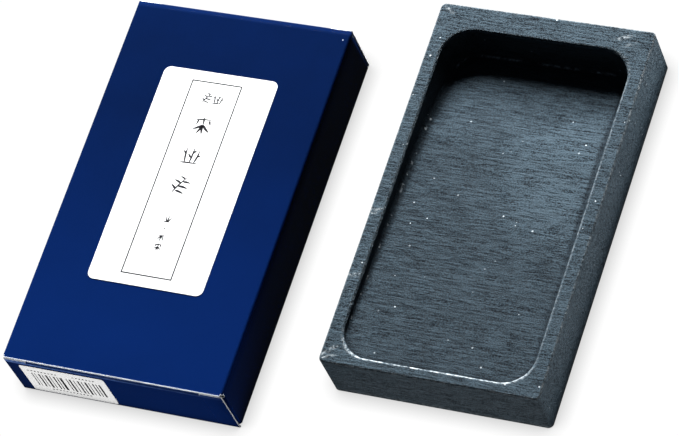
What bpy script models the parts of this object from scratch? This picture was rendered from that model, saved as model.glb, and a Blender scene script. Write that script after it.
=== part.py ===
"""Slate inkstone lying beside its tuck-end paperboard carton.

Metres, +Z up, +Y towards the deep end of the stone, +X from the carton to the stone.
The origin is at the middle of the base of the pair.
"""
import bpy
import bmesh
from math import cos, pi, radians, sin
from mathutils import Matrix, Vector

# Stone: the traditional size of 4.5 by 2.5 by 0.7 sun, one sun being 30.3 mm.
STONE_LENGTH = 0.1364
STONE_WIDTH = 0.0758
STONE_HEIGHT = 0.0210
STONE_CORNER_RADIUS = 0.0018
STONE_EDGE_CHAMFER = 0.0005

# Well: a shallow grinding slope that dips into a deep ink pool at the far end.
SIDE_RIM = 0.0050
FAR_RIM = 0.0090
NEAR_RIM = 0.0038
WELL_CORNER_RADIUS = 0.0105
RIM_CHAMFER = 0.0006
NEAR_DEPTH = 0.0013
SLOPE = 0.0448
POOL_DROP = 0.0042
POOL_START_Y = 0.0180
POOL_END_Y = 0.0500
WALL_DRAFT = 0.20
FLOOR_FILLET = 0.0026

# Carton, sized to hold the stone.
CARTON_LENGTH = 0.1395
CARTON_WIDTH = 0.0795
CARTON_HEIGHT = 0.0230
BOARD = 0.0005
GAP = 0.0003

# The pair as it lies: middle of the stone and middle of the carton.
STONE_AT = Vector((0.053125, 0.00975, 0.0))
CARTON_AT = Vector((-0.051275, -0.00795, 0.0))

# Closures: a panel creased to the back, with a tongue that tucks under the front.
SLIT_LENGTH = 0.0082
TONGUE_LENGTH = 0.0130
TONGUE_SIDE_CLEARANCE = 0.0012
TONGUE_CORNER_RADIUS = 0.0060
TONGUE_DIP = radians(8)
DUST_FLAP_LENGTH = 0.0220
DUST_FLAP_TOP = CARTON_HEIGHT - 0.0027
DUST_FLAP_TAPER = 0.0020

# Glue flap, folded up inside the right side of the sleeve.
GLUE_FLAP_HEIGHT = 0.0130
GLUE_FLAP_END = 0.0080
GLUE_FLAP_TAPER = 0.0040

# Pasted papers.
PAPER = 0.00015
PAPER_GAP = 0.0001
LABEL_WIDTH = 0.0420
LABEL_LENGTH = 0.0822
LABEL_Y = 0.0047
LABEL_RADIUS = 0.0024
STICKER_WIDTH = 0.0310
STICKER_HEIGHT = 0.0178
STICKER_X = -0.0195
STICKER_Z = 0.0104
STICKER_RADIUS = 0.0010


def clear_scene():
    for obj in list(bpy.data.objects):
        bpy.data.objects.remove(obj, do_unlink=True)


def make_collection(name):
    collection = bpy.data.collections.new(name)
    bpy.context.scene.collection.children.link(collection)
    return collection


def make_material(name, colour, roughness):
    material = bpy.data.materials.new(name)
    material.use_nodes = True
    shader = material.node_tree.nodes["Principled BSDF"]
    shader.inputs["Base Color"].default_value = (*colour, 1.0)
    shader.inputs["Roughness"].default_value = roughness
    shader.inputs["Metallic"].default_value = 0.0
    return material


def make_object(name, bm, collection, material=None, parent=None, location=(0, 0, 0)):
    mesh = bpy.data.meshes.new(name)
    bm.to_mesh(mesh)
    bm.free()
    obj = bpy.data.objects.new(name, mesh)
    collection.objects.link(obj)
    if material:
        mesh.materials.append(material)
    obj.parent = parent
    obj.location = location
    return obj


def make_empty(name, collection, location):
    empty = bpy.data.objects.new(name, None)
    collection.objects.link(empty)
    empty.location = location
    return empty


def box(low, high):
    """A cube between two corners."""
    low, high = Vector(low), Vector(high)
    bm = bmesh.new()
    place = Matrix.Translation((low + high) / 2) @ Matrix.Diagonal((*(high - low), 1.0))
    bmesh.ops.create_cube(bm, size=1.0, matrix=place)
    return bm


def edges_along(bm, axis, test=lambda middle: True):
    """Edges parallel to one axis whose middle passes the test."""
    found = []
    for edge in bm.edges:
        run = edge.verts[1].co - edge.verts[0].co
        if abs(run[axis]) > 0.999 * run.length and test((edge.verts[0].co + edge.verts[1].co) / 2):
            found.append(edge)
    return found


def round_edges(bm, edges, radius, segments):
    bmesh.ops.bevel(bm, geom=edges, offset=radius, segments=segments, profile=0.5,
                    affect="EDGES", clamp_overlap=True)


# ---------------------------------------------------------------- stone

def well_depth(y):
    """Depth of the floor under the rim, y being measured from the stone's middle."""
    near_y = NEAR_RIM - STONE_LENGTH / 2
    t = min(max((y - POOL_START_Y) / (POOL_END_Y - POOL_START_Y), 0.0), 1.0)
    return NEAR_DEPTH + SLOPE * (y - near_y) + POOL_DROP * t * t * (3 - 2 * t)


def wall_profile(depth, segments=4):
    """(inset, depth) down the wall: chamfer above the rim, drafted wall, fillet onto the floor."""
    above = 0.001
    fillet = min(FLOOR_FILLET, 0.6 * (depth - RIM_CHAMFER))
    chamfer_end = RIM_CHAMFER
    wall_end = depth - fillet
    wall_inset = WALL_DRAFT * (wall_end - chamfer_end)
    points = [(-RIM_CHAMFER - above, -above), (0.0, chamfer_end)]
    for i in range(segments + 1):
        angle = pi / 2 * i / segments
        points.append((wall_inset + fillet * (1 - cos(angle)), wall_end + fillet * sin(angle)))
    return points


def well_cutter(collection):
    """A block whose sides follow the wall profile and whose base follows the floor."""
    half_x = STONE_WIDTH / 2 - SIDE_RIM
    near_y = NEAR_RIM - STONE_LENGTH / 2
    far_y = STONE_LENGTH / 2 - FAR_RIM
    rings = len(wall_profile(NEAR_DEPTH))
    bm = box((-half_x, near_y, 0), (half_x, far_y, rings - 1))
    round_edges(bm, edges_along(bm, 2), WELL_CORNER_RADIUS, 8)
    for ring in range(1, rings - 1):
        slice_at(bm, (0, 0, ring), (0, 0, 1))
    first, last = near_y + WELL_CORNER_RADIUS, far_y - WELL_CORNER_RADIUS
    cuts = 14
    for i in range(cuts + 1):
        slice_at(bm, (0, first + (last - first) * i / cuts, 0), (0, 1, 0))
    core_x = half_x - WELL_CORNER_RADIUS
    for vert in bm.verts:
        ring = rings - 1 - round(vert.co.z)
        inset, depth = wall_profile(well_depth(vert.co.y))[ring]
        core = Vector((min(max(vert.co.x, -core_x), core_x), min(max(vert.co.y, first), last), 0))
        outward = (vert.co.xy - core.xy).normalized() * (WELL_CORNER_RADIUS - inset)
        vert.co = Vector((core.x + outward.x, core.y + outward.y, STONE_HEIGHT - depth))
    cutter = make_object("well_cutter", bm, collection, location=STONE_AT)
    cutter.hide_render = True
    cutter.display_type = "WIRE"
    return cutter


def slice_at(bm, point, normal):
    bmesh.ops.bisect_plane(bm, geom=bm.verts[:] + bm.edges[:] + bm.faces[:],
                           plane_co=point, plane_no=normal, dist=1e-7)


def make_stone(collection, cutters, material):
    half = Vector((STONE_WIDTH / 2, STONE_LENGTH / 2, 0))
    bm = box((-half.x, -half.y, 0), (half.x, half.y, STONE_HEIGHT))
    round_edges(bm, edges_along(bm, 2), STONE_CORNER_RADIUS, 4)
    flat_edges = [edge for edge in bm.edges if abs(edge.verts[0].co.z - edge.verts[1].co.z) < 1e-6]
    round_edges(bm, flat_edges, STONE_EDGE_CHAMFER, 1)
    stone = make_object("inkstone", bm, collection, material, location=STONE_AT)
    cut = stone.modifiers.new("well", "BOOLEAN")
    cut.operation = "DIFFERENCE"
    cut.object = well_cutter(cutters)
    return stone


# ---------------------------------------------------------------- carton

def make_sleeve(collection, materials, carton):
    """The four panels round the stone and the flap that glues them into a sleeve."""
    half_x, half_y, top = CARTON_WIDTH / 2, CARTON_LENGTH / 2, CARTON_HEIGHT
    end = half_y - BOARD - GAP
    side_low, side_high = BOARD + GAP, top - BOARD - GAP
    panels = {
        "front_panel": ((-half_x, -end, top - BOARD), (half_x, end, top)),
        "back_panel": ((-half_x, -end, 0), (half_x, end, BOARD)),
        "left_side_panel": ((-half_x, -end, side_low), (-half_x + BOARD, end, side_high)),
        "right_side_panel": ((half_x - BOARD, -end, side_low), (half_x, end, side_high)),
    }
    for name, (low, high) in panels.items():
        make_object(name, box(low, high), collection, materials["board"], carton)
    inner = half_x - BOARD - GAP
    flap = box((inner - BOARD, -half_y + GLUE_FLAP_END, side_low),
               (inner, half_y - GLUE_FLAP_END, side_low + GLUE_FLAP_HEIGHT))
    for vert in flap.verts:
        if vert.co.z > side_low + GLUE_FLAP_HEIGHT / 2:
            vert.co.y -= GLUE_FLAP_TAPER if vert.co.y > 0 else -GLUE_FLAP_TAPER
    make_object("glue_flap", flap, collection, materials["board"], carton)


def rounded_sheet(low, high, axis, radius, test=lambda middle: True):
    """A thin box whose corners are rounded about its thin axis."""
    bm = box(low, high)
    round_edges(bm, edges_along(bm, axis, test), radius, 4)
    return bm


def make_label(collection, materials, carton):
    low_z = CARTON_HEIGHT + PAPER_GAP
    sheet = rounded_sheet((-LABEL_WIDTH / 2, LABEL_Y - LABEL_LENGTH / 2, low_z),
                          (LABEL_WIDTH / 2, LABEL_Y + LABEL_LENGTH / 2, low_z + PAPER), 2, LABEL_RADIUS)
    make_object("front_label", sheet, collection, materials["paper"], carton)


def make_closure(collection, materials, carton, end_name, outward):
    """An end panel hinged on the back panel's crease, and the tongue on its free edge.

    outward is -1 at the near end and +1 at the far end. Both meshes are made about their own
    crease, so each object turns about its origin.
    """
    hinge = Vector((0, outward * (CARTON_LENGTH - BOARD) / 2, BOARD))
    half_x = CARTON_WIDTH / 2 - GAP
    top = CARTON_HEIGHT - BOARD - GAP
    panel = box((-half_x, -BOARD / 2, 0), (half_x, BOARD / 2, top - hinge.z))
    closure = make_object(end_name + "_closure_panel", panel, collection, materials["board"],
                          carton, hinge)

    # The tongue hangs between the slits, widens past them and has rounded tips.
    start, shoulder = BOARD / 2 + 1.2 * GAP, 0.0022
    slit_x = CARTON_WIDTH / 2 - SLIT_LENGTH
    tip_x = CARTON_WIDTH / 2 - TONGUE_SIDE_CLEARANCE
    tongue = box((-tip_x, start, -BOARD / 2), (tip_x, TONGUE_LENGTH, BOARD / 2))
    round_edges(tongue, edges_along(tongue, 2, lambda middle: middle.y > shoulder),
                TONGUE_CORNER_RADIUS, 4)
    slice_at(tongue, (0, shoulder, 0), (0, 1, 0))
    for vert in tongue.verts:
        if vert.co.y < (start + shoulder) / 2:
            vert.co.x = slit_x if vert.co.x > 0 else -slit_x
    turn = Matrix.Rotation(-TONGUE_DIP, 4, "X")
    if outward > 0:
        turn = Matrix.Rotation(pi, 4, "Z") @ turn
    bmesh.ops.transform(tongue, matrix=turn, verts=tongue.verts)
    crease = (0, 0, top - BOARD / 2 - hinge.z)
    make_object(end_name + "_tuck_tongue", tongue, collection, materials["board"], closure, crease)
    return closure


def make_sticker(collection, materials, closure):
    """The sticker on the near closure, on the outside of the panel."""
    outer_y = -BOARD / 2 - PAPER_GAP
    middle_z = STICKER_Z - BOARD
    sheet = rounded_sheet(
        (STICKER_X - STICKER_WIDTH / 2, outer_y - PAPER, middle_z - STICKER_HEIGHT / 2),
        (STICKER_X + STICKER_WIDTH / 2, outer_y, middle_z + STICKER_HEIGHT / 2), 1, STICKER_RADIUS)
    make_object("end_sticker", sheet, collection, materials["paper"], closure)


def make_dust_flap(collection, materials, carton, name, side, outward):
    """A flap creased to a side panel, behind the closure; side is -1 on the left, +1 on the right."""
    hinge = Vector((side * (CARTON_WIDTH / 2 - 1.5 * BOARD - GAP),
                    outward * (CARTON_LENGTH / 2 - 1.5 * BOARD - GAP), 0))
    low_z = 2 * BOARD + GAP
    flap = box((0, -BOARD / 2, low_z), (DUST_FLAP_LENGTH, BOARD / 2, DUST_FLAP_TOP))
    for vert in flap.verts:
        if vert.co.x > DUST_FLAP_LENGTH / 2:
            vert.co.z += DUST_FLAP_TAPER if vert.co.z < CARTON_HEIGHT / 2 else -DUST_FLAP_TAPER
    if side > 0:
        bmesh.ops.rotate(flap, verts=flap.verts, matrix=Matrix.Rotation(pi, 3, "Z"))
    make_object(name, flap, collection, materials["board"], carton, hinge)


def make_carton(collection, materials):
    carton = make_empty("carton", collection, CARTON_AT)
    make_sleeve(collection, materials, carton)
    make_label(collection, materials, carton)
    for end_name, outward in (("near", -1), ("far", 1)):
        closure = make_closure(collection, materials, carton, end_name, outward)
        if end_name == "near":
            make_sticker(collection, materials, closure)
        for side_name, side in (("left", -1), ("right", 1)):
            make_dust_flap(collection, materials, carton, f"{end_name}_{side_name}_dust_flap",
                           side, outward)


def main():
    clear_scene()
    parts = make_collection("boxed_inkstone")
    cutters = make_collection("cutters")
    slate = make_material("slate", (0.085, 0.115, 0.130), 0.62)
    materials = {
        "board": make_material("navy_board", (0.004, 0.018, 0.120), 0.45),
        "paper": make_material("label_paper", (0.80, 0.81, 0.80), 0.50),
    }
    make_stone(parts, cutters, slate)
    make_carton(parts, materials)


main()
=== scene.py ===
import math

import bmesh
import bpy
from mathutils import Matrix, Vector, noise
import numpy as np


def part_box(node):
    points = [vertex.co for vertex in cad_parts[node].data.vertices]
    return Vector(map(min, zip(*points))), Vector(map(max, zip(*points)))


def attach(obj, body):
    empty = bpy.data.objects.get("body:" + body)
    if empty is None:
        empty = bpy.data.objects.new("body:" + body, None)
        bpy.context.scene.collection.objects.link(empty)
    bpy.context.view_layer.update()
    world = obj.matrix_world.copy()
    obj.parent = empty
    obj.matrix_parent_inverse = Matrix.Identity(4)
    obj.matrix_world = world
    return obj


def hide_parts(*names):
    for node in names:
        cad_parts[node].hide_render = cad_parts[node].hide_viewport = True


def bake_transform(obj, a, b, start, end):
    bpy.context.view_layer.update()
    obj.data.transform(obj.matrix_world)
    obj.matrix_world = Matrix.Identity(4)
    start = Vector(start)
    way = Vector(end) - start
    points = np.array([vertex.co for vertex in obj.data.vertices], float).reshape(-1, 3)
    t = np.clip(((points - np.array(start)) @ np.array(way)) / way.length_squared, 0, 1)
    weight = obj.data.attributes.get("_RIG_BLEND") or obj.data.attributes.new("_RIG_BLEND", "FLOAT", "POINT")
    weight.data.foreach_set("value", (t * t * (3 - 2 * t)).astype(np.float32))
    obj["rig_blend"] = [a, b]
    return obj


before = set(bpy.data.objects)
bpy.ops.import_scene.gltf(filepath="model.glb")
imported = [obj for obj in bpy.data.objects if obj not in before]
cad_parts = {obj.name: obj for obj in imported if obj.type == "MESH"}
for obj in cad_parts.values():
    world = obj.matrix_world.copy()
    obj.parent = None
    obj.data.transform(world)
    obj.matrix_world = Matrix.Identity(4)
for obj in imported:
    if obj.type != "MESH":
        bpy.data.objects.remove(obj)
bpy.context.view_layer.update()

mm = 0.001
hair = 0.001 * mm  # points this near are one point
closest = 0.0001 * mm  # cuts this near are one cut
noiseSpan = (0.3, 0.7)  # where most values of a noise texture lie

# Camera, looking down on the pair from the near right corner.
cameraSetup = {
    "target": (-0.0034, 0.0030, 0.0),
    "distance": 1.331,
    "azimuth": 42.8,
    "elevation": 56.8,
    "roll": -28.5,
    "lens": 212.1,
    "sensorWidth": 36.0,
}


def placeCamera(setup):
    azimuth, elevation, roll = (math.radians(setup[k]) for k in ("azimuth", "elevation", "roll"))
    back = Vector((math.sin(azimuth) * math.cos(elevation), -math.cos(azimuth) * math.cos(elevation),
                   math.sin(elevation)))
    right = Vector((math.cos(azimuth), math.sin(azimuth), 0))
    turn = Matrix((right, back.cross(right), back)).transposed().to_4x4()
    lens = bpy.data.cameras.new("camera")
    lens.lens = setup["lens"]
    lens.sensor_width = setup["sensorWidth"]
    camera = bpy.data.objects.new("camera", lens)
    camera.matrix_world = (Matrix.Translation(Vector(setup["target"]) + back * setup["distance"])
                           @ turn @ Matrix.Rotation(roll, 4, "Z"))
    bpy.context.scene.collection.objects.link(camera)
    bpy.context.scene.camera = camera


placeCamera(cameraSetup)
print("camera placed")


def startMaterial(name):
    # gives the material, its shader and a short way to add linked nodes
    material = bpy.data.materials.new(name)
    material.use_nodes = True
    tree = material.node_tree

    def add(kind, inputs=None, **settings):
        node = tree.nodes.new(kind)
        for key, value in settings.items():
            setattr(node, key, value)
        for key, value in (inputs or {}).items():
            if isinstance(value, bpy.types.NodeSocket):
                tree.links.new(value, node.inputs[key])
            else:
                node.inputs[key].default_value = value
        return node

    def link(output, socket):
        tree.links.new(output, socket)

    return material, tree.nodes["Principled BSDF"], add, link


def objectNoise(add, place, scale, stretch=(1, 1, 1), detail=3.0, roughness=0.55):
    mapped = add("ShaderNodeMapping", {"Vector": place, "Scale": [scale * s for s in stretch]})
    return add("ShaderNodeTexNoise", {"Vector": mapped.outputs[0], "Scale": 1.0, "Detail": detail,
                                      "Roughness": roughness}).outputs[0]


def mapRange(add, value, low, high, toLow=0.0, toHigh=1.0):
    return add("ShaderNodeMapRange", {"Value": value, "From Min": low, "From Max": high,
                                      "To Min": toLow, "To Max": toHigh}).outputs[0]


def mathNode(add, operation, a, b=0.0):
    return add("ShaderNodeMath", {0: a, 1: b}, operation=operation).outputs[0]


def mixColour(add, share, a, b):
    # a and b are colours or sockets
    rgba = [(*c, 1.0) if isinstance(c, tuple) else c for c in (a, b)]
    return add("ShaderNodeMix", {0: share, 6: rgba[0], 7: rgba[1]}, data_type="RGBA").outputs[2]


def addBump(add, link, shader, height, look):
    bump = add("ShaderNodeBump", {"Strength": look["bumpStrength"], "Distance": look["bumpDepth"],
                                  "Height": height})
    link(bump.outputs[0], shader.inputs["Normal"])


def makePiece(name, bm, materials, replaced=(), smoothAngle=35):
    mesh = bpy.data.meshes.new(name)
    bm.to_mesh(mesh)
    bm.free()
    mesh.shade_smooth()
    mesh.set_sharp_from_angle(angle=math.radians(smoothAngle))
    for material in materials:
        mesh.materials.append(material)
    piece = bpy.data.objects.new(name, mesh)
    bpy.context.scene.collection.objects.link(piece)
    if replaced:
        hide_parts(*replaced)
    return piece


def smoothStep(t):
    t = min(max(t, 0.0), 1.0)
    return t * t * (3 - 2 * t)


# Slate for the inkstone: blue-grey, sawn across, with pale specks and worn edges.
slateLook = {
    "dark": (0.001, 0.002, 0.004), "light": (0.056, 0.085, 0.108),
    "wornAndHighlight": (0.43, 0.48, 0.51), "fleck": (0.50, 0.56, 0.60),
    "sawScale": 150, "sawStretch": (1, 10.5, 10.5), "sawSpan": (0.40, 0.60), "sawTone": 0.54,
    "grainScale": 2300, "grainSpan": (0.41, 0.59), "grainTone": 0.58,
    "cloudScale": 70, "cloudTone": 0.12,
    "lineScale": 60, "lineStretch": (1, 12, 12), "lineWidth": 0.022, "lineDepth": 0.26,
    "fleckScale": 800, "fleckSize": 0.30, "fleckShare": 0.965,
    "rubScale": 900, "rubSpan": (0.40, 0.62),
    # painted shade darkens the walls and the grinding face of the well, and a painted sheen lightens one spot
    # of the face
    "wallPaintedShade": 0.60, "floorPaintedShade": 0.30, "paintedSheenTone": 0.56,
    "paintedSheenSpot": (24 * mm, 12 * mm), "paintedSheenReach": (6 * mm, 36 * mm),
    "roughness": (0.55, 0.75), "shine": 0.60,
    "bumpStrength": 0.6, "bumpDepth": 0.7 * mm, "sawHeight": 0.7, "grainHeight": 0.5,
}


def slateMaterial(look):
    material, shader, add, link = startMaterial("slate")
    place = add("ShaderNodeTexCoord").outputs["Object"]
    saw = objectNoise(add, place, look["sawScale"], look["sawStretch"], detail=5.0, roughness=0.65)
    grain = objectNoise(add, place, look["grainScale"], detail=2.0)
    cloud = objectNoise(add, place, look["cloudScale"], detail=2.0)
    tone = mathNode(add, "ADD", mapRange(add, saw, *look["sawSpan"], 0.0, look["sawTone"]),
                    mapRange(add, grain, *look["grainSpan"], 0.0, look["grainTone"]))
    tone = mathNode(add, "ADD", tone, mapRange(add, cloud, *noiseSpan, 0.0, look["cloudTone"]))
    # fine dark saw lines that wander across
    line = objectNoise(add, place, look["lineScale"], look["lineStretch"], detail=1.5, roughness=0.4)
    line = mathNode(add, "ABSOLUTE", mathNode(add, "SUBTRACT", line, 0.5))
    line = mapRange(add, line, 0.0, look["lineWidth"], look["lineDepth"], 0.0)
    tone = mathNode(add, "SUBTRACT", tone, line)
    # painted shade darkens the well's walls and floor, and a painted sheen lightens one spot of the floor
    paintedShadeAndSheen = add("ShaderNodeAttribute", attribute_name="paintedShadeAndSheen").outputs["Fac"]
    tone = mathNode(add, "MULTIPLY", tone, mathNode(add, "SUBTRACT", 1.0, paintedShadeAndSheen))
    colour = mixColour(add, tone, look["dark"], look["light"])
    # pale specks, each of its own size and strength
    cells = add("ShaderNodeTexVoronoi", {"Vector": place, "Scale": look["fleckScale"]})
    draw = add("ShaderNodeSeparateColor", {0: cells.outputs["Color"]}).outputs
    reach = mathNode(add, "MULTIPLY", draw[1], look["fleckSize"])
    near = mathNode(add, "LESS_THAN", cells.outputs["Distance"], reach)
    chosen = mathNode(add, "GREATER_THAN", draw[0], look["fleckShare"])
    speck = mathNode(add, "MULTIPLY", mathNode(add, "MULTIPLY", near, chosen), draw[2])
    colour = mixColour(add, speck, colour, look["fleck"])
    # edges rubbed pale, and the painted highlight at the fillet, broken up by a coarser grain
    # real wear on edges, chips and scratches, and the painted highlight at the fillet
    wearAndHighlight = add("ShaderNodeAttribute", attribute_name="wearAndHighlight").outputs["Fac"]
    rub = objectNoise(add, place, look["rubScale"])
    wornAndHighlight = mathNode(add, "MULTIPLY", wearAndHighlight, mapRange(add, rub, *look["rubSpan"]))
    colour = mixColour(add, wornAndHighlight, colour, look["wornAndHighlight"])
    link(colour, shader.inputs["Base Color"])
    link(mapRange(add, grain, *noiseSpan, *look["roughness"]), shader.inputs["Roughness"])
    height = mathNode(add, "ADD", mathNode(add, "MULTIPLY", saw, look["sawHeight"]),
                      mathNode(add, "MULTIPLY", grain, look["grainHeight"]))
    addBump(add, link, shader, height, look)
    shader.inputs["Specular IOR Level"].default_value = look["shine"]
    return material


# Inkstone: a slab with a shallow grinding slope that dips into a deep pool at the far end.
stoneShape = {
    "cornerRadius": 1.8 * mm, "edgeRadius": 0.6 * mm, "edgeMargin": 0.5 * mm,
    "baseEdge": 0.4 * mm, "flatBase": 0.3 * mm,
    "sideRim": 5.0 * mm, "farRim": 9.0 * mm, "nearRim": 3.8 * mm,
    "wellRadius": 10.5 * mm, "bevel": 0.6 * mm,
    "nearDepth": 1.3 * mm, "slope": 0.0448,
    "poolDrop": 4.2 * mm, "poolStart": 18 * mm, "poolEnd": 50 * mm,
    "draft": 0.20, "fillet": 2.6 * mm, "leastFlat": 0.4,
    # points of a ring along, across and round a corner
    "alongCount": 290, "acrossCount": 165, "cornerCount": 12,
    # rings of the base, sides, edge, rim, bevel, walls, fillet and floor
    "baseInsets": (20 * mm, 8 * mm, 2 * mm, 0.4 * mm), "sideSteps": 8, "edgeSteps": 5,
    "rimShares": (0.08, 0.2, 0.4, 0.6, 0.8, 0.92), "bevelSteps": 4,
    "wallShares": (0.05, 0.2, 0.4, 0.6, 0.8, 1.0), "filletSteps": 7, "floorSteps": 24,
    "unevenness": 0.05 * mm, "waveScales": (45, 170),
    "chipDepth": 0.5 * mm, "chipScales": (260, 1100), "chipShares": (0.9, 0.4), "chipFrom": 0.50,
    "chipWear": 2.5, "edgeWear": 0.3, "edgeChip": 0.3, "bevelChip": 0.2,
    # how pale the bevel is rubbed all round, and how much more along the near and right rims
    "bevelWear": 0.15, "nearBevelWear": 0.85, "rightBevelWear": 0.12,
    # painted highlight where light catches the fillet: the pale line in it, its breaks and its specks
    "highlightStep": 5, "breakScale": 90, "breakFrom": -0.15,
    "speckScale": 500, "speckFrom": 0.25, "speckHighlight": 0.8,
    # light scratches on the rim, in millimetres from the middle: start, end
    "scratches": [((-37.5, -11.9), (-33.4, -11.0)), ((-36.9, -13.2), (-35.0, -12.4)),
                  ((-37.6, -36.3), (-33.6, -35.6)), ((-37.2, -65.6), (-34.0, -62.4)),
                  ((-36.6, -66.6), (-33.8, -65.4)), ((-36.0, 66.8), (-33.2, 65.2)),
                  ((26.2, 64.2), (29.0, 64.8)), ((30.4, 62.6), (31.6, 63.6))],
    "scratchWidth": 0.5, "scratchDepth": 0.2 * mm,
}


def loopPoint(index, counts, box, radius, inset):
    # point and outward direction of a rounded rectangle shrunk by inset
    along, across, corner = counts
    left, right, near, far = box
    grow = max(inset - radius, 0.0)
    spots = [((right - radius, near + radius), (1, -1)), ((right - radius, far - radius), (1, 1)),
             ((left + radius, far - radius), (-1, 1)), ((left + radius, near + radius), (-1, -1))]

    def cornerSpot(k, angle):
        (x, y), (sx, sy) = spots[k % 4]
        way = Vector((math.cos(angle), math.sin(angle)))
        return Vector((x - sx * grow, y - sy * grow)) + way * max(radius - inset, 0.0), way

    for k, straight in enumerate((along, across, along, across)):
        start = math.radians(-90 + 90 * k)
        if index <= corner:
            return cornerSpot(k, start + math.pi / 2 * index / corner)
        index -= corner
        if index < straight:
            a, way = cornerSpot(k, start + math.pi / 2)
            b, _ = cornerSpot(k + 1, start + math.pi / 2)
            return a.lerp(b, index / straight), way
        index -= straight
    return cornerSpot(0, math.radians(-90))


def scratched(shape, x, y):
    # how strongly a spot of the rim is scratched
    most = 0.0
    for start, end in shape["scratches"]:
        start, end = Vector(start) * mm, Vector(end) * mm
        run = end - start
        share = min(max((Vector((x, y)) - start).dot(run) / run.length_squared, 0.0), 1.0)
        away = (Vector((x, y)) - start - run * share).length
        most = max(most, 1.0 - away / (shape["scratchWidth"] * mm))
    return most


def wellDepth(shape, y):
    nearY = -shape["halfY"] + shape["nearRim"]
    dip = smoothStep((y - shape["poolStart"]) / (shape["poolEnd"] - shape["poolStart"]))
    return shape["nearDepth"] + shape["slope"] * (y - nearY) + shape["poolDrop"] * dip


def bevelWear(shape, way):
    # the bevel is rubbed most along the near rim, where way.y is -1, then along the right one
    near = smoothStep((-way.y - 0.2) / 0.6)
    return shape["bevelWear"] + shape["nearBevelWear"] * near + shape["rightBevelWear"] * max(way.x, 0)


def filletHighlight(shape, spot, way):
    # a painted highlight: a broken pale line at the foot of the far wall, and specks along the left one,
    # where light catches the fillet
    spot = Vector((*spot, 0))
    if way.x < -0.5 and noise.noise(spot * shape["speckScale"]) > shape["speckFrom"]:
        return shape["speckHighlight"]
    if noise.noise(spot * shape["breakScale"]) > shape["breakFrom"]:
        return smoothStep((way.y - 0.4) / 0.4)
    return 0.0


def chipBite(shape, spot):
    # nothing over most of an edge, and up to about a half in a chip
    waves = zip(shape["chipShares"], shape["chipScales"])
    wave = sum(share * noise.noise(spot * scale) for share, scale in waves)
    return max(0.0, wave - shape["chipFrom"])


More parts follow.
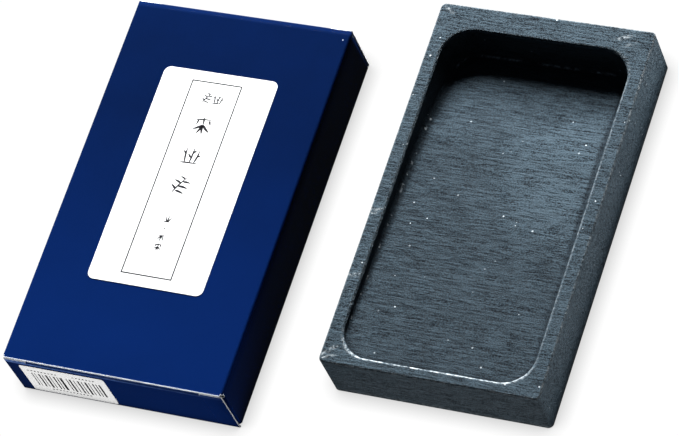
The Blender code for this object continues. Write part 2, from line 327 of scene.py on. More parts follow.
def makeStone(shape, look, material):
    low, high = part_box("inkstone")
    low, high = Vector(low), Vector(high)
    middle = (low + high) / 2
    halfX, halfY, top = (high.x - low.x) / 2, (high.y - low.y) / 2, high.z - low.z
    shape = dict(shape, halfY=halfY)
    counts = (shape["alongCount"], shape["acrossCount"], shape["cornerCount"])
    total = 2 * (counts[0] + counts[1]) + 4 * counts[2]
    outer = (-halfX, halfX, -halfY, halfY)
    well = (-halfX + shape["sideRim"], halfX - shape["sideRim"],
            -halfY + shape["nearRim"], halfY - shape["farRim"])
    edge, baseEdge, bevel = shape["edgeRadius"], shape["baseEdge"], shape["bevel"]

    # rings from the middle of the base, up the outside, over the rim and down into the well
    rings = []

    def outerRing(inset, z, wearAndHighlight=0.0, chip=0.0):
        def at(i):
            spot, way = loopPoint(i, counts, outer, shape["cornerRadius"], inset)
            return Vector((*spot, z)), Vector((*way, 1)).normalized(), wearAndHighlight, chip
        rings.append(at)

    def rimRing(share):
        def at(i):
            a, way = loopPoint(i, counts, outer, shape["cornerRadius"], edge)
            b, _ = loopPoint(i, counts, well, shape["wellRadius"], -bevel)
            return Vector((*a.lerp(b, share), top)), Vector((*way, 1)).normalized(), 0.0, 0.0
        rings.append(at)

    def wallRing(kind, share, wearAndHighlight=0.0, chip=0.0):
        def at(i):
            spot, way = loopPoint(i, counts, well, shape["wellRadius"], 0.0)
            depth = wellDepth(shape, spot.y)
            fillet = min(shape["fillet"], (1 - shape["leastFlat"]) * (depth - bevel))
            wallEnd = depth - fillet
            wallInset = shape["draft"] * (wallEnd - bevel)
            if kind == "bevel":
                inset, down = -bevel * (1 - share), bevel * share
            elif kind == "wall":
                inset, down = wallInset * share, bevel + (wallEnd - bevel) * share
            else:
                angle = math.pi / 2 * share
                inset = wallInset + fillet * (1 - math.cos(angle))
                down = wallEnd + fillet * math.sin(angle)
            if kind == "floor":
                start = wallInset + fillet
                end = min(well[1], (well[3] - well[2]) / 2)
                inset = start + (end - start) * share
                first, _ = loopPoint(i, counts, well, shape["wellRadius"], start)
                spot, _ = loopPoint(i, counts, well, shape["wellRadius"], inset)
                step = depth - wellDepth(shape, first.y)
                down = wellDepth(shape, spot.y) + step * (1 - share) ** 6
            else:
                spot, _ = loopPoint(i, counts, well, shape["wellRadius"], inset)
            away = Vector((0, 0, 1)) if kind == "floor" else Vector((-way.x, -way.y, 1)).normalized()
            # the fillet's ring carries the painted highlight, the bevel's rings their real wear
            rubbedAndLit = filletHighlight(shape, spot, way) if kind == "fillet" else bevelWear(shape, way)
            return Vector((*spot, top - down)), away, wearAndHighlight * rubbedAndLit, chip
        rings.append(at)

    for inset in (halfX, *shape["baseInsets"]):
        outerRing(inset, 0.0)
    outerRing(0.0, baseEdge, shape["edgeWear"])
    for step in range(1, shape["sideSteps"]):
        outerRing(0.0, baseEdge + (top - edge - baseEdge) * step / shape["sideSteps"])
    outerRing(0.0, top - edge - shape["edgeMargin"])
    for step in range(shape["edgeSteps"] + 1):
        angle = math.pi / 2 * step / shape["edgeSteps"]
        crest = math.sin(2 * angle)
        outerRing(edge * (1 - math.cos(angle)), top - edge * (1 - math.sin(angle)),
                  shape["edgeWear"] * crest, shape["edgeChip"] + (1 - shape["edgeChip"]) * crest)
    for share in shape["rimShares"]:
        rimRing(share)
    for step in range(shape["bevelSteps"] + 1):
        share = step / shape["bevelSteps"]
        wearAndHighlight = 1.0 - 0.6 * abs(share - 0.4)  # a little less at the bevel's two edges
        chip = shape["bevelChip"] + (1 - shape["bevelChip"]) * math.sin(math.pi * share)
        wallRing("bevel", share, wearAndHighlight, chip)
    wallStart = len(rings)
    for share in shape["wallShares"]:
        wallRing("wall", share)
    for step in range(1, shape["filletSteps"] + 1):
        wallRing("fillet", step / shape["filletSteps"], 1.0 if step == shape["highlightStep"] else 0.0)
    groundStart = len(rings)
    for step in range(1, shape["floorSteps"] + 1):
        wallRing("floor", step / shape["floorSteps"])

    bm = bmesh.new()
    rows = len(rings)
    bmesh.ops.create_grid(bm, x_segments=total, y_segments=rows - 1, size=0.5)
    wearAndHighlightLayer = bm.verts.layers.float.new("wearAndHighlight")
    paintedShadeAndSheenLayer = bm.verts.layers.float.new("paintedShadeAndSheen")
    paintedSheenSpot = Vector(look["paintedSheenSpot"])
    paintedSheenNear, paintedSheenFar = look["paintedSheenReach"]
    coarse, fine = shape["waveScales"]
    for vert in bm.verts:
        i = round((vert.co.x + 0.5) * total) % total
        j = round((vert.co.y + 0.5) * (rows - 1))
        spot, away, wearAndHighlight, chip = rings[j](i)
        wave = noise.noise(spot * coarse) + 0.5 * noise.noise(spot * fine)
        if spot.z > shape["flatBase"]:
            spot += away * wave * shape["unevenness"]
        if chip:
            bite = chipBite(shape, spot)
            spot -= away * bite * chip * shape["chipDepth"]
            wearAndHighlight = min(1.0, wearAndHighlight + shape["chipWear"] * bite * chip)
        if away.z > 0.5 and spot.z > top - shape["scratchDepth"]:
            wearAndHighlight = max(wearAndHighlight, scratched(shape, spot.x, spot.y))
        # painted shade on the well's floor, turning into a painted sheen near one spot, and painted shade on
        # its walls
        if j >= groundStart:
            far = ((spot.xy - paintedSheenSpot).length - paintedSheenNear) / (paintedSheenFar - paintedSheenNear)
            vert[paintedShadeAndSheenLayer] = look["floorPaintedShade"] - look["paintedSheenTone"] * (1.0 - smoothStep(far))
        elif j >= wallStart:
            vert[paintedShadeAndSheenLayer] = look["wallPaintedShade"]
        vert.co = spot + Vector((middle.x, middle.y, low.z))
        vert[wearAndHighlightLayer] = wearAndHighlight
    bmesh.ops.remove_doubles(bm, verts=bm.verts[:], dist=hair)
    bmesh.ops.dissolve_degenerate(bm, dist=hair, edges=bm.edges[:])
    bmesh.ops.recalc_face_normals(bm, faces=bm.faces[:])
    stone = makePiece("slateInkstone", bm, [material], ["inkstone"], 60)
    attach(stone, "stone")
    return stone


slate = slateMaterial(slateLook)
stone = makeStone(stoneShape, slateLook, slate)
print("inkstone made:", len(stone.data.polygons), "faces")


# Carton: glossy navy print outside, plain white board inside and at the cut edges.
cartonLook = {
    "navy": (0.0018, 0.0126, 0.080), "navyDeep": (0.0014, 0.0060, 0.031),
    "crease": (0.080, 0.155, 0.39), "dust": (0.55, 0.60, 0.70),
    "inside": (0.62, 0.61, 0.57), "cut": (0.88, 0.91, 0.94),
    "cloudScale": 55, "cloudTone": 0.10, "grainScale": 2600, "grainTone": 0.12,
    # painted light: the print is painted lighter from here to there, towards the near end, where more light
    # falls
    "paintedLightFrom": 20 * mm, "paintedLightTo": -65 * mm, "paintedLightTone": 0.8,
    # as wear grows the print turns dull and matt, then pale as a crease, then it is gone; the pale crease
    # colour also paints a highlight on the near crease and the stripe under the near seam, and the bare
    # colour a highlight along the near edges
    "dullSpan": (0.0, 0.05), "dullShine": 0.01, "mattSpan": (0.0, 0.2), "mattRoughness": 0.55,
    "creaseSpan": (0.25, 0.55), "bareSpan": (0.60, 0.90),
    # how a noise breaks up both: its values, and the shares they become
    "rubScale": 700, "creaseRub": (0.30, 0.60, 0.4, 1.0), "bareRub": (0.30, 0.55, 0.75, 1.0),
    "dustScale": 75, "dustSize": 0.016, "dustShare": 0.55,
    "gloss": (0.07, 0.11), "shine": 0.11, "bumpStrength": 0.15, "bumpDepth": 0.008 * mm,
}


def navyMaterial(look):
    material, shader, add, link = startMaterial("navyPrint")
    place = add("ShaderNodeTexCoord").outputs["Object"]
    cloud = objectNoise(add, place, look["cloudScale"])
    grain = objectNoise(add, place, look["grainScale"], detail=2.0)
    y = add("ShaderNodeSeparateXYZ", {0: place}).outputs[1]
    # painted light: the print grows lighter towards the near end, standing in for the light falling there
    along = mapRange(add, y, look["paintedLightFrom"], look["paintedLightTo"], 0.0, look["paintedLightTone"])
    tone = mathNode(add, "ADD", mapRange(add, cloud, *noiseSpan, 0.0, look["cloudTone"]),
                    mapRange(add, grain, *noiseSpan, 0.0, look["grainTone"]))
    colour = mixColour(add, mathNode(add, "ADD", tone, along), look["navyDeep"], look["navy"])
    # real wear at the folds, and painted highlights on the near crease, the stripe under the near seam and
    # the near edges
    wearAndHighlight = add("ShaderNodeAttribute", attribute_name="wearAndHighlight").outputs["Fac"]
    rub = objectNoise(add, place, look["rubScale"])
    # pale crease colour: real wear at the folds, and a painted highlight on the near crease and the stripe
    # under the near seam
    creased = mathNode(add, "MULTIPLY", mapRange(add, wearAndHighlight, *look["creaseSpan"]),
                       mapRange(add, rub, *look["creaseRub"]))
    colour = mixColour(add, creased, colour, look["crease"])
    # bare board colour: real rubbed-bare wear, and a painted highlight of the lit cut edge along the near
    # edges
    bareAndHighlightMask = mathNode(add, "MULTIPLY", mapRange(add, wearAndHighlight, *look["bareSpan"]),
                    mapRange(add, rub, *look["bareRub"]))
    colour = mixColour(add, bareAndHighlightMask, colour, look["cut"])
    # a few specks of dust
    cells = add("ShaderNodeTexVoronoi", {"Vector": place, "Scale": look["dustScale"]})
    near = mathNode(add, "LESS_THAN", cells.outputs["Distance"], look["dustSize"])
    draw = add("ShaderNodeSeparateColor", {0: cells.outputs["Color"]}).outputs
    chosen = mathNode(add, "GREATER_THAN", draw[0], look["dustShare"])
    colour = mixColour(add, mathNode(add, "MULTIPLY", near, chosen), colour, look["dust"])
    link(colour, shader.inputs["Base Color"])
    gloss = mapRange(add, grain, *noiseSpan, *look["gloss"])
    matt = mapRange(add, wearAndHighlight, *look["mattSpan"], 0.0, look["mattRoughness"])
    link(mathNode(add, "ADD", gloss, matt), shader.inputs["Roughness"])
    addBump(add, link, shader, grain, look)
    shine = mapRange(add, wearAndHighlight, *look["dullSpan"], look["shine"], look["dullShine"])
    link(shine, shader.inputs["Specular IOR Level"])
    return material


boardLook = {
    "insideScale": 900, "cutScale": 1600, "fibreStretch": (1, 0.35, 1), "soiled": 0.72,
    "roughness": 0.85, "shine": 0.2, "bumpStrength": 0.4, "bumpDepth": 0.05 * mm,
}


def boardMaterial(name, colour, scale, look):
    # plain fibre board
    material, shader, add, link = startMaterial(name)
    place = add("ShaderNodeTexCoord").outputs["Object"]
    fibre = objectNoise(add, place, scale, look["fibreStretch"], detail=4.0, roughness=0.6)
    soiled = tuple(look["soiled"] * c for c in colour)
    link(mixColour(add, mapRange(add, fibre, 0.35, 0.65), soiled, colour), shader.inputs["Base Color"])
    addBump(add, link, shader, fibre, look)
    shader.inputs["Roughness"].default_value = look["roughness"]
    shader.inputs["Specular IOR Level"].default_value = look["shine"]
    return material


navyPrint = navyMaterial(cartonLook)
boardInside = boardMaterial("boardInside", cartonLook["inside"], boardLook["insideScale"], boardLook)
boardCut = boardMaterial("boardCut", cartonLook["cut"], boardLook["cutScale"], boardLook)
boardMaterials = [navyPrint, boardInside, boardCut]

frontLow, frontHigh = (Vector(c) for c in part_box("front_panel"))
leftLow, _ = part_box("left_side_panel")
_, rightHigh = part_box("right_side_panel")
nearLow, nearHigh = (Vector(c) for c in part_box("near_closure_panel"))
_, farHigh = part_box("far_closure_panel")
glueLow, glueHigh = (Vector(c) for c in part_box("glue_flap"))
cartonMiddle = Vector(((leftLow[0] + rightHigh[0]) / 2, (nearLow.y + farHigh[1]) / 2, frontHigh.z / 2))
halfWidth = (rightHigh[0] - leftLow[0]) / 2
halfLength = (farHigh[1] - nearLow.y) / 2
cartonTop = frontHigh.z
board = frontHigh.z - frontLow.z
sleeveEnd = (frontHigh.y - frontLow.y) / 2
closureTop = nearHigh.z

foldShape = {
    "creaseRadius": 0.8 * mm, "creaseSteps": 8, "creaseMargin": 0.5 * mm,
    # the near tongue's crease is worn and also painted pale as a highlight
    "creaseWear": 0.25, "nearTongueWearAndHighlight": 0.6,
    # the near edges are rubbed bare and painted white as a highlight of their lit cut edges
    "mouthGap": 0.12 * mm, "rubbedAndLitEdge": 0.12 * mm, "rubbedAndLitFade": 0.35 * mm,
    # painted highlight: the pale stripe under the near seam: down to where it is full, where it ends, its
    # strength at the left slit and half of what it loses towards the right one
    "stripe": 0.9 * mm, "stripeFoot": 1.7 * mm, "stripeHighlight": 0.55, "stripeHighlightLoss": 0.12,
    "slit": 8.2 * mm, "slitGap": 0.15 * mm, "seamGap": 0.2 * mm,
    "tongueLength": 13.0 * mm, "tongueDip": 8.0, "tongueRadius": 6.0 * mm, "tipCuts": 8, "shoulder": 2.2 * mm,
    "shoulderRise": 0.6 * mm, "tongueClearance": 1.2 * mm,
    "flapTaper": 2.0 * mm, "flapLow": 1.3 * mm, "flapBelowTop": 2.7 * mm, "flapTip": 4.0 * mm,
    "glueEnd": 8.0 * mm, "glueTaper": 4.0 * mm, "glueGap": 0.1 * mm,
    # cuts that keep the long panels' faces short
    "frontCuts": 8, "lengthCuts": 6, "endMargin": 2 * mm,
}


def walkBoard(distance, start, heading, creases, radius):
    # follows the outer face of a folded board: straight runs, with an arc at each crease
    point, angle, done = Vector(start), math.radians(heading), 0.0
    for at, turn in creases:
        point += (min(distance, at) - done) * Vector((math.cos(angle), math.sin(angle)))
        if distance <= at:
            return point
        arc = radius * abs(math.radians(turn))
        part = min(distance - at, arc)
        side = math.copysign(1, turn)
        centre = point + side * radius * Vector((-math.sin(angle), math.cos(angle)))
        angle += side * part / radius
        point = centre - side * radius * Vector((-math.sin(angle), math.cos(angle)))
        done = at + part
        if distance <= at + arc:
            return point
    return point + (distance - done) * Vector((math.cos(angle), math.sin(angle)))


def flatBlank(shape, length, low, high, creases, rub, cuts, crossCuts=()):
    # a flat sheet, x along the fold path and y across it, cut where it will bend
    radius, steps, margin = shape["creaseRadius"], shape["creaseSteps"], shape["creaseMargin"]
    bm = bmesh.new()
    bmesh.ops.create_grid(bm, x_segments=1, y_segments=1, size=0.5)
    bmesh.ops.translate(bm, verts=bm.verts[:], vec=(0.5, 0.5, 0))
    bmesh.ops.scale(bm, verts=bm.verts[:], vec=(length, high - low, 1))
    bmesh.ops.translate(bm, verts=bm.verts[:], vec=(0, low, 0))
    places = list(cuts)
    for at, turn in creases:
        arc = radius * abs(math.radians(turn))
        places += [at + arc * k / steps for k in range(steps + 1)] + [at - margin, at + arc + margin]
    for at in places:
        if closest < at < length - closest:
            sliceSheet(bm, (at, 0, 0), (1, 0, 0))
    for at in crossCuts:
        sliceSheet(bm, (0, at, 0), (0, 1, 0))
    wearAndHighlightLayer = bm.verts.layers.float.new("wearAndHighlight")
    for vert in bm.verts:
        for at, turn in creases:
            arc = radius * abs(math.radians(turn))
            off = abs(vert.co.x - at - arc / 2) / (arc / 2)
            vert[wearAndHighlightLayer] = max(vert[wearAndHighlightLayer], rub * (1.0 - off))
    return bm


def sliceSheet(bm, point, normal):
    bmesh.ops.bisect_plane(bm, geom=bm.verts[:] + bm.edges[:] + bm.faces[:], plane_co=point,
                           plane_no=normal, dist=closest)


def faceAway(bm, point):
    # turns an open sheet so that its print faces away from the point
    bm.normal_update()
    outward = sum(f.normal.dot(f.calc_center_median() - point) * f.calc_area() for f in bm.faces)
    if outward < 0:
        bmesh.ops.reverse_faces(bm, faces=bm.faces[:])


def thicken(piece):
    wall = piece.modifiers.new("board", "SOLIDIFY")
    wall.thickness = board
    wall.offset = -1
    wall.use_even_offset = True
    wall.material_offset = 1
    wall.material_offset_rim = 2


def makeSleeve(shape):
    # one blank: glue flap, back, left side, front and right side, in the order that it folds
    radius = shape["creaseRadius"]
    arc = radius * math.pi / 2
    glueX = glueHigh.x - cartonMiddle.x
    runs = [glueHigh.z - radius, glueX + halfWidth - 2 * radius, cartonTop - 2 * radius,
            2 * halfWidth - 2 * radius, cartonTop - radius - glueLow.z]
    creases, at = [], 0.0
    for run in runs[:-1]:
        creases.append((at + run, -90))
        at += run + arc
    length = at + runs[-1]
    (glueAt, _), (leftAt, _), (frontAt, _), (rightAt, _) = creases
    pieces = shape["frontCuts"]
    cuts = [frontAt + arc + (rightAt - frontAt - arc) * k / pieces for k in range(1, pieces)]
    cuts += [glueAt - shape["glueGap"]]
    pieces, margin = shape["lengthCuts"], shape["endMargin"]
    crossCuts = [-sleeveEnd + shape["rubbedAndLitEdge"], -sleeveEnd + shape["rubbedAndLitFade"], -sleeveEnd + margin]
    crossCuts += [sleeveEnd * k / pieces for k in range(1 - pieces, pieces)] + [sleeveEnd - margin]
    bm = flatBlank(shape, length, -sleeveEnd, sleeveEnd, creases, shape["creaseWear"], cuts, crossCuts)
    wearAndHighlightLayer = bm.verts.layers.float["wearAndHighlight"]
    mouth = -sleeveEnd + shape["rubbedAndLitEdge"] + hair
    sideEnd = sleeveEnd - radius
    for vert in bm.verts:
        s, y = vert.co.x, vert.co.y
        onLeft = leftAt + arc - hair < s < frontAt + hair
        onFront = frontAt + arc - hair < s < rightAt + hair
        if frontAt - hair < s < rightAt + arc + hair and y < mouth:
            vert[wearAndHighlightLayer] = 1.0  # the front's near edge is rubbed bare, and painted white as a highlight of its lit cut edge
        if s < glueAt - shape["glueGap"] / 2:
            reach = halfLength - shape["glueEnd"] - shape["glueTaper"] * (1 - s / glueAt)
        elif onLeft or s > rightAt + arc - hair:
            reach = sideEnd
        elif onFront and y < 0:
            reach = halfLength - shape["mouthGap"]
        else:
            reach = sleeveEnd
        y *= reach / sleeveEnd
        x, z = walkBoard(s, (glueX, glueHigh.z), -90, creases, radius)
        vert.co = Vector((cartonMiddle.x + x, cartonMiddle.y + y, z))
    faceAway(bm, cartonMiddle)
    sleeve = makePiece("cartonSleeve", bm, boardMaterials,
                       ["front_panel", "back_panel", "left_side_panel", "right_side_panel", "glue_flap"])
    thicken(sleeve)
    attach(sleeve, "carton")


def makeClosure(shape, end, outward):
    # the end panel with the crease that joins it to the back; u runs outwards from the middle
    radius = shape["creaseRadius"]
    arc = radius * math.pi / 2
    at = halfLength - radius - sleeveEnd
    seam = closureTop - radius - shape["seamGap"]
    length = at + arc + closureTop - radius
    seamAt = at + arc + seam - radius
    half = nearHigh.x - cartonMiddle.x
    slitX, gap = halfWidth - shape["slit"], shape["slitGap"]
    cuts = [seamAt, seamAt - shape["stripe"], seamAt - shape["stripeFoot"],
            length - shape["rubbedAndLitFade"], length - shape["rubbedAndLitEdge"]]
    bm = flatBlank(shape, length, -half, half, [(at, 90)], shape["creaseWear"], cuts,
                   [-slitX - gap, -slitX + gap, slitX - gap, slitX + gap])
    # between the slits the board goes on as the tongue
    gone = [f for f in bm.faces if f.calc_center_median().x > seamAt
            and abs(f.calc_center_median().y) < slitX + gap]
    bmesh.ops.delete(bm, geom=gone, context="FACES")
    wearAndHighlightLayer = bm.verts.layers.float["wearAndHighlight"]
    for vert in bm.verts:
        # the near closure's top edge is rubbed bare and painted white as a highlight of its lit cut edge
        if end == "near" and vert.co.x > length - shape["rubbedAndLitEdge"] - hair:
            vert[wearAndHighlightLayer] = 1.0
        # a painted highlight stripe in the pale crease colour, fading towards the right slit
        elif end == "near" and vert.co.x > seamAt - shape["stripe"] - hair:
            vert[wearAndHighlightLayer] = shape["stripeHighlight"] - shape["stripeHighlightLoss"] * (vert.co.y + slitX) / slitX
        u, z = walkBoard(vert.co.x, (sleeveEnd, 0), 0, [(at, 90)], radius)
        vert.co = Vector((cartonMiddle.x + vert.co.y, cartonMiddle.y + outward * u, z))
    faceAway(bm, cartonMiddle)
    closure = makePiece(end + "ClosureBoard", bm, boardMaterials, [end + "_closure_panel"])
    thicken(closure)
    endY = cartonMiddle.y + outward * halfLength
    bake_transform(closure, "carton", end + "_closure",
             (cartonMiddle.x, endY - outward * radius, 0), (cartonMiddle.x, endY, radius))


def makeTongue(shape, end, outward):
    # the tongue, with the crease between the slits that joins it to the closure
    radius = shape["creaseRadius"]
    turn = 90 + shape["tongueDip"]
    arc = radius * math.radians(turn)
    seam = closureTop - radius - shape["seamGap"]
    at = shape["seamGap"]
    neckEnd = at + arc / 2 + shape["shoulder"]
    length = at + arc / 2 + shape["tongueLength"]
    slitX = halfWidth - shape["slit"] - shape["slitGap"]
    tipX = halfWidth - shape["tongueClearance"]
    tipRadius, tipCuts, rise = shape["tongueRadius"], shape["tipCuts"], shape["shoulderRise"]
    cuts = [neckEnd - rise, neckEnd]
    cuts += [length - tipRadius * math.cos(math.pi / 2 * k / tipCuts) for k in range(tipCuts)]
    # the near tongue's crease is painted pale as a highlight as well as worn
    rub = shape["nearTongueWearAndHighlight"] if end == "near" else shape["creaseWear"]
    # y runs from -1 to 1 here and is given its true width below
    bm = flatBlank(shape, length, -1, 1, [(at, turn)], rub, cuts, [-0.9, 0.0, 0.9])
    for vert in bm.verts:
        s = vert.co.x
        reach = slitX + (tipX - slitX) * smoothStep((s - neckEnd + rise) / rise)
        into = s - (length - tipRadius)
        if into > 0:
            reach = tipX - tipRadius + math.sqrt(max(tipRadius ** 2 - into ** 2, 0))
        u, z = walkBoard(s, (halfLength, seam), 90, [(at, turn)], radius)
        vert.co = Vector((cartonMiddle.x + vert.co.y * reach, cartonMiddle.y + outward * u, z))
    faceAway(bm, cartonMiddle - Vector((0, 0, cartonTop)))
    tongue = makePiece(end + "TongueBoard", bm, boardMaterials, [end + "_tuck_tongue"])
    thicken(tongue)
    endY = cartonMiddle.y + outward * halfLength
    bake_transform(tongue, end + "_closure", end + "_tongue", (cartonMiddle.x, endY, closureTop - radius),
             (cartonMiddle.x, endY - outward * radius, closureTop))


def makeDustFlap(shape, end, outward, side, sideward):
    # a flap folded in from a side panel; w runs sideways and u outwards from the middle
    radius = shape["creaseRadius"]
    flapLow, flapHigh = (Vector(c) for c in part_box(f"{end}_{side}_dust_flap"))
    lowZ, highZ = shape["flapLow"], cartonTop - shape["flapBelowTop"]
    arc = radius * math.pi / 2
    reach = halfWidth - (cartonMiddle.x - flapHigh.x if sideward < 0 else flapLow.x - cartonMiddle.x)
    length = arc + reach - radius
    creases = [(0.0, 90)]
    bm = flatBlank(shape, length, lowZ, highZ, creases, shape["creaseWear"], [length - shape["flapTip"]])
    for vert in bm.verts:
        share = max(0.0, (vert.co.x - arc) / (length - arc))
        z = vert.co.y + shape["flapTaper"] * share * (1 if vert.co.y < cartonTop / 2 else -1)
        w, u = walkBoard(vert.co.x, (halfWidth, sleeveEnd - radius), 90, creases, radius)
        vert.co = Vector((cartonMiddle.x + sideward * w, cartonMiddle.y + outward * u, z))
    faceAway(bm, cartonMiddle)
    flap = makePiece(f"{end}{side.capitalize()}DustFlapBoard", bm, boardMaterials,
                     [f"{end}_{side}_dust_flap"])
    thicken(flap)
    sideX = cartonMiddle.x + sideward * halfWidth
    startY = cartonMiddle.y + outward * (sleeveEnd - radius)
    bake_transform(flap, "carton", f"{end}_{side}_flap", (sideX, startY, cartonTop / 2),
             (sideX - sideward * radius, startY + outward * radius, cartonTop / 2))


makeSleeve(foldShape)
for end, outward in (("near", -1), ("far", 1)):
    makeClosure(foldShape, end, outward)
    makeTongue(foldShape, end, outward)
    for side, sideward in (("left", -1), ("right", 1)):
        makeDustFlap(foldShape, end, outward, side, sideward)
print("carton folded")


# Papers: the label on the front and the sticker on the near closure, with printed marks.
paperLook = {
    "paper": (0.74, 0.75, 0.75), "sticker": (0.89, 0.89, 0.88),
    "ink": (0.008, 0.008, 0.010),
    "paperScale": 1500, "paperShade": 0.94, "paperShine": 0.25, "bumpStrength": 0.2, "bumpDepth": 0.03 * mm,
    "inkScale": 2500, "inkFaded": 3.5, "inkShine": 0.2, "roughness": 0.6,
    "labelRadius": 2.4 * mm, "stickerRadius": 1.0 * mm,
    "paperThickness": 0.14 * mm, "inkThickness": 0.012 * mm, "glueThickness": 0.01 * mm,
    "frameCentre": (-0.5 * mm, 0.1 * mm), "frameSize": (18.1 * mm, 74.2 * mm), "frameLine": 0.46 * mm,
    "dabWidth": 1.8, "thinnestDab": 0.52 * mm,
}


def paperMaterial(name, colour, look):
    material, shader, add, link = startMaterial(name)
    place = add("ShaderNodeTexCoord").outputs["Object"]
    fibre = objectNoise(add, place, look["paperScale"], detail=4.0)
    shade = tuple(look["paperShade"] * c for c in colour)
    link(mixColour(add, mapRange(add, fibre, 0.35, 0.65), shade, colour), shader.inputs["Base Color"])
    addBump(add, link, shader, fibre, look)
    shader.inputs["Roughness"].default_value = look["roughness"]
    shader.inputs["Specular IOR Level"].default_value = look["paperShine"]
    return material


def inkMaterial(look):
    material, shader, add, link = startMaterial("printInk")
    place = add("ShaderNodeTexCoord").outputs["Object"]
    dry = objectNoise(add, place, look["inkScale"], detail=2.0)
    faded = tuple(look["inkFaded"] * c for c in look["ink"])
    link(mixColour(add, mapRange(add, dry, 0.45, 0.75), look["ink"], faded), shader.inputs["Base Color"])
    shader.inputs["Roughness"].default_value = look["roughness"]
    shader.inputs["Specular IOR Level"].default_value = look["inkShine"]
    return material


def paperSheet(width, height, radius, thickness):
    # a rounded slip lying flat at the origin
    bm = bmesh.new()
    bmesh.ops.create_grid(bm, x_segments=1, y_segments=1, size=0.5)
    bmesh.ops.scale(bm, verts=bm.verts[:], vec=(width, height, 1))
    bmesh.ops.bevel(bm, geom=bm.verts[:], offset=radius, segments=8, profile=0.5,
                    affect="VERTICES", material=-1)
    raiseFaces(bm, bm.faces[:], thickness)
    return bm


def raiseFaces(bm, faces, thickness):
    # turns flat faces into a closed slip of the given thickness
    made = bmesh.ops.extrude_face_region(bm, geom=faces, use_keep_orig=True)
    top = [g for g in made["geom"] if isinstance(g, bmesh.types.BMVert)]
    bmesh.ops.translate(bm, verts=top, vec=(0, 0, thickness))
    bmesh.ops.recalc_face_normals(bm, faces=bm.faces[:])


def addDab(bm, start, end, width, bend):
    # a brush dab: a drop shape, fuller where it starts, whose middle bows out by bend
    start, end = Vector(start), Vector(end)
    run = end - start
    fullness, taper = 1.15, 0.6
    made = bmesh.ops.create_circle(bm, cap_ends=True, segments=16, radius=0.5)
    for vert in made["verts"]:
        x, y = vert.co.x, vert.co.y
        y *= width * (fullness - taper * (x + 0.5))
        y += bend * (0.25 - x * x) * 4
        vert.co = Vector((x * run.length, y, 0))
    turn = Matrix.Rotation(math.atan2(run.y, run.x), 4, "Z")
    place = Matrix.Translation(((start.x + end.x) / 2, (start.y + end.y) / 2, 0)) @ turn
    bmesh.ops.transform(bm, matrix=place, verts=made["verts"])


def addBar(bm, x, y, width, height):
    made = bmesh.ops.create_grid(bm, x_segments=1, y_segments=1, size=0.5)
    bmesh.ops.scale(bm, verts=made["verts"], vec=(width, height, 1))
    bmesh.ops.translate(bm, verts=made["verts"], vec=(x, y, 0))


# Sprigs drawn on the label, each in a square one unit wide: start, end, width, bend.
sprigs = {
    "leafFan": [
        ((-0.06, 0.50), (0.02, 0.02), 0.055, 0.02),
        ((-0.46, 0.30), (0.44, 0.36), 0.050, 0.04),
        ((0.02, 0.06), (-0.48, -0.24), 0.085, 0.03),
        ((0.02, 0.04), (-0.22, -0.48), 0.080, 0.02),
        ((0.02, 0.04), (0.10, -0.50), 0.075, -0.02),
        ((0.03, 0.06), (0.48, -0.34), 0.085, -0.03),
        ((0.30, 0.34), (0.42, 0.08), 0.065, -0.01),
        ((-0.30, 0.32), (-0.36, 0.04), 0.060, 0.01),
    ],
    "branch": [
        ((-0.34, -0.50), (0.26, 0.50), 0.055, 0.05),
        ((-0.22, -0.26), (-0.50, -0.02), 0.075, -0.02),
        ((-0.12, -0.08), (0.42, -0.16), 0.080, 0.03),
        ((-0.02, 0.10), (-0.42, 0.26), 0.070, -0.02),
        ((0.06, 0.20), (0.50, 0.16), 0.070, 0.02),
        ((-0.20, -0.34), (0.30, -0.48), 0.075, 0.03),
        ((0.16, 0.36), (-0.16, 0.50), 0.055, -0.01),
    ],
    "reeds": [
        ((-0.50, -0.46), (0.50, -0.44), 0.055, 0.015),
        ((-0.26, -0.44), (-0.34, 0.44), 0.060, 0.03),
        ((0.00, -0.44), (0.04, 0.50), 0.060, -0.02),
        ((0.24, -0.44), (0.36, 0.36), 0.060, -0.03),
        ((-0.30, 0.02), (-0.50, 0.22), 0.070, -0.01),
        ((0.02, 0.08), (0.20, 0.30), 0.070, 0.01),
        ((0.30, -0.08), (0.50, 0.04), 0.065, 0.01),
        ((-0.02, -0.14), (-0.20, 0.06), 0.065, -0.01),
    ],
    "tuft": [
        ((-0.40, -0.40), (0.42, -0.36), 0.090, 0.02),
        ((0.00, -0.38), (-0.34, 0.34), 0.090, 0.03),
        ((0.02, -0.38), (0.08, 0.48), 0.090, -0.02),
        ((0.04, -0.38), (0.44, 0.26), 0.090, -0.03),
    ],
    "seed": [((-0.40, 0.10), (0.40, -0.10), 0.80, 0.0)],
}

# What stands where in the label's column, in millimetres from its middle: sprig, x, y, size, turn.
labelColumn = [
    ("branch", -2.1, 31.2, 3.9, 0), ("reeds", 1.9, 31.3, 3.7, 0),
    ("leafFan", -0.3, 20.6, 6.6, 0), ("reeds", -0.2, 9.2, 6.6, 0), ("branch", -0.2, -2.3, 6.6, 0),
    ("tuft", -0.2, -15.4, 2.8, 0), ("seed", -0.2, -19.1, 0.6, 0),
    ("tuft", -0.2, -22.7, 2.6, 180), ("leafFan", -0.2, -26.0, 2.6, 0),
]


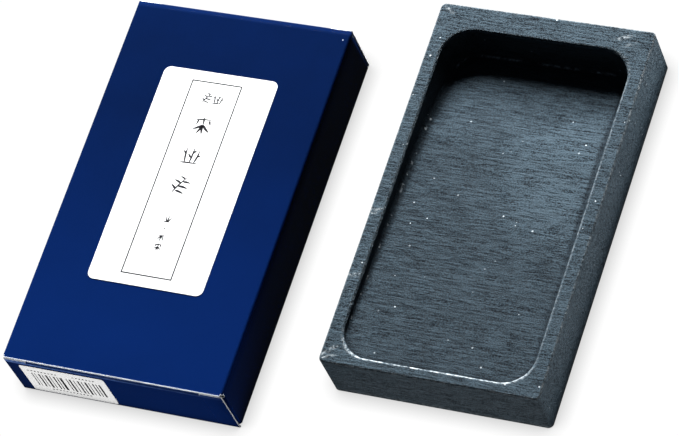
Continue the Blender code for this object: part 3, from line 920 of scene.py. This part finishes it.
def makeLabel(look, column, paper, ink):
    low, high = (Vector(c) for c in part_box("front_label"))
    middle = (low + high) / 2
    base = frontHigh.z + look["glueThickness"]
    bm = paperSheet(high.x - low.x, high.y - low.y, look["labelRadius"], look["paperThickness"])
    bmesh.ops.translate(bm, verts=bm.verts[:], vec=(middle.x, middle.y, base))
    label = makePiece("frontLabelPaper", bm, [paper], ["front_label"])
    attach(label, "carton")

    bm = bmesh.new()
    (cx, cy), (fw, fh), line = look["frameCentre"], look["frameSize"], look["frameLine"]
    for side in (-1, 1):
        addBar(bm, cx + side * fw / 2, cy, line, fh + line)
        addBar(bm, cx, cy + side * fh / 2, fw - line, line)
    for kind, x, y, size, turn in column:
        spin = Matrix.Rotation(math.radians(turn), 2)
        for start, end, width, bend in sprigs[kind]:
            a, b = (spin @ Vector(p) * size * mm + Vector((x, y)) * mm for p in (start, end))
            addDab(bm, a, b, max(width * size * mm * look["dabWidth"], look["thinnestDab"]), bend * size * mm)
    raiseFaces(bm, bm.faces[:], look["inkThickness"])
    bmesh.ops.translate(bm, verts=bm.verts[:], vec=(middle.x, middle.y, base + look["paperThickness"]))
    marks = makePiece("labelSprigs", bm, [ink])
    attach(marks, "carton")


stickerBars = {
    "height": 9.0 * mm, "bottom": -4.8 * mm,
    "start": -12.4 * mm, "barUnit": 0.075 * mm, "gapUnit": 0.185 * mm,
    # rows of small dashes, in millimetres: start, height above the middle, how many
    "dashes": [(-12.9, 5.9, 9), (3.6, 6.2, 7), (-7.6, -6.1, 12)],
    "dashSize": (0.7 * mm, 0.55 * mm), "dashStep": 1.25 * mm,
    # bar and gap widths in turn, in bar and gap units
    "widths": (5, 4, 3, 6, 8, 4, 4, 5, 10, 4, 4, 6, 7, 4, 5, 4, 12, 8, 5,
               4, 9, 5, 4, 6, 8, 4, 5, 5, 10, 4, 4, 6, 6, 4, 5, 4, 9),
}


def makeSticker(look, bars, paper, ink):
    low, high = (Vector(c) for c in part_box("end_sticker"))
    middle = (low + high) / 2
    outside = Vector((middle.x, nearLow.y - look["glueThickness"], middle.z))
    stand = Matrix.Translation(outside) @ Matrix.Rotation(math.pi / 2, 4, "X")
    bm = paperSheet(high.x - low.x, high.z - low.z, look["stickerRadius"], look["paperThickness"])
    bmesh.ops.transform(bm, matrix=stand, verts=bm.verts[:])
    sticker = makePiece("endStickerPaper", bm, [paper], ["end_sticker"])
    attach(sticker, "near_closure")

    bm = bmesh.new()
    x = bars["start"]
    for k, width in enumerate(bars["widths"]):
        width *= bars["gapUnit"] if k % 2 else bars["barUnit"]
        if k % 2 == 0:
            addBar(bm, x + width / 2, bars["bottom"] + bars["height"] / 2, width, bars["height"])
        x += width
    for start, y, count in bars["dashes"]:
        for k in range(count):
            addBar(bm, start * mm + k * bars["dashStep"], y * mm, *bars["dashSize"])
    raiseFaces(bm, bm.faces[:], look["inkThickness"])
    lift = Matrix.Translation((0, 0, look["paperThickness"]))
    bmesh.ops.transform(bm, matrix=stand @ lift, verts=bm.verts[:])
    marks = makePiece("stickerBars", bm, [ink])
    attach(marks, "near_closure")


ink = inkMaterial(paperLook)
labelPaper = paperMaterial("labelPaper", paperLook["paper"], paperLook)
stickerPaper = paperMaterial("stickerPaper", paperLook["sticker"], paperLook)
makeLabel(paperLook, labelColumn, labelPaper, ink)
makeSticker(paperLook, stickerBars, stickerPaper, ink)
print("papers pasted on")


# Studio: a white cove, one soft key from the far left, and white cards beside the pair.
studio = {
    "coveRadius": 4.0, "coveBend": 1.5, "coveHeight": 5.0, "coveSides": 96, "bendSteps": 12,
    "floorShade": 0.66, "floorWhite": 1.03, "shadowReach": 7.5 * mm, "shadowSpan": (0.45, 0.97),
    "ambient": (0.010, 0.012, 0.016),
    "keyAim": (0, 0, 0.02), "keyWay": (-0.27, 0.80, 0.40), "keyDistance": 0.85, "keySize": (0.40, 0.44),
    "keyPower": 42.0, "sheenPower": 5.0,
    # white cards lying level with the floor: middle, size and power
    "cards": [((-0.225, -0.34, 0.0), (0.45, 0.52), 1.45), ((0.21, -0.32, 0.0), (0.40, 0.52), 0.80),
              ((0.31, 0.0, 0.0), (0.42, 0.12), 0.45), ((0.31, 0.20, 0.0), (0.42, 0.28), 1.8)],
}


def makeFloor(setup):
    # flat in the middle, bent up into a wall all round
    bm = bmesh.new()
    bmesh.ops.create_circle(bm, cap_ends=True, segments=setup["coveSides"],
                            radius=setup["coveRadius"] - setup["coveBend"])
    ring = [e for e in bm.edges if e.is_boundary]
    steps = setup["bendSteps"]
    for step in range(1, steps + 2):
        made = bmesh.ops.extrude_edge_only(bm, edges=ring)
        verts = [g for g in made["geom"] if isinstance(g, bmesh.types.BMVert)]
        ring = [g for g in made["geom"] if isinstance(g, bmesh.types.BMEdge)]
        angle = math.pi / 2 * min(step, steps) / steps
        radius = setup["coveRadius"] - setup["coveBend"] * (1 - math.sin(angle))
        height = setup["coveBend"] * (1 - math.cos(angle)) + (setup["coveHeight"] if step > steps else 0)
        for vert in verts:
            flat = vert.co.xy.normalized() * radius
            vert.co = Vector((*flat, height))
    mesh = bpy.data.meshes.new("studioCove")
    bm.to_mesh(mesh)
    bm.free()
    mesh.shade_smooth()
    cove = bpy.data.objects.new("studioCove", mesh)
    bpy.context.scene.collection.objects.link(cove)
    material, shader, add, link = startMaterial("studioPaper")
    near = add("ShaderNodeAmbientOcclusion", {"Distance": setup["shadowReach"]}, samples=32)
    glow = mapRange(add, near.outputs["AO"], *setup["shadowSpan"], setup["floorShade"], setup["floorWhite"])
    shader.inputs["Base Color"].default_value = (0, 0, 0, 1)
    shader.inputs["Specular IOR Level"].default_value = 0.0
    shader.inputs["Emission Color"].default_value = (1, 1, 1, 1)
    link(glow, shader.inputs["Emission Strength"])
    mesh.materials.append(material)
    cove.visible_diffuse = False
    cove.visible_glossy = False
    cove.visible_shadow = False


def addArea(name, spot, way, size, power):
    lamp = bpy.data.lights.new(name, "AREA")
    lamp.shape = "RECTANGLE"
    lamp.size, lamp.size_y = size
    lamp.energy = power
    light = bpy.data.objects.new(name, lamp)
    light.matrix_world = Matrix.Translation(spot) @ Vector(way).to_track_quat("-Z", "Y").to_matrix().to_4x4()
    light.visible_camera = False
    bpy.context.scene.collection.objects.link(light)
    return light


def makeLights(setup):
    way = Vector(setup["keyWay"]).normalized()
    spot = Vector(setup["keyAim"]) + way * setup["keyDistance"]
    # the key lights without glare; a weak twin in the same place gives the sheen
    addArea("keySoftbox", spot, -way, setup["keySize"], setup["keyPower"]).visible_glossy = False
    addArea("sheenSoftbox", spot, -way, setup["keySize"], setup["sheenPower"]).visible_diffuse = False
    for spot, size, power in setup["cards"]:
        addArea("whiteCard", spot, (0, 0, 1), size, power).visible_glossy = False
    world = bpy.data.worlds.new("studio")
    world.use_nodes = True
    world.node_tree.nodes["Background"].inputs[0].default_value = (*setup["ambient"], 1)
    bpy.context.scene.world = world
    bpy.context.scene.view_settings.view_transform = "Standard"


makeFloor(studio)
makeLights(studio)
print("studio lit")
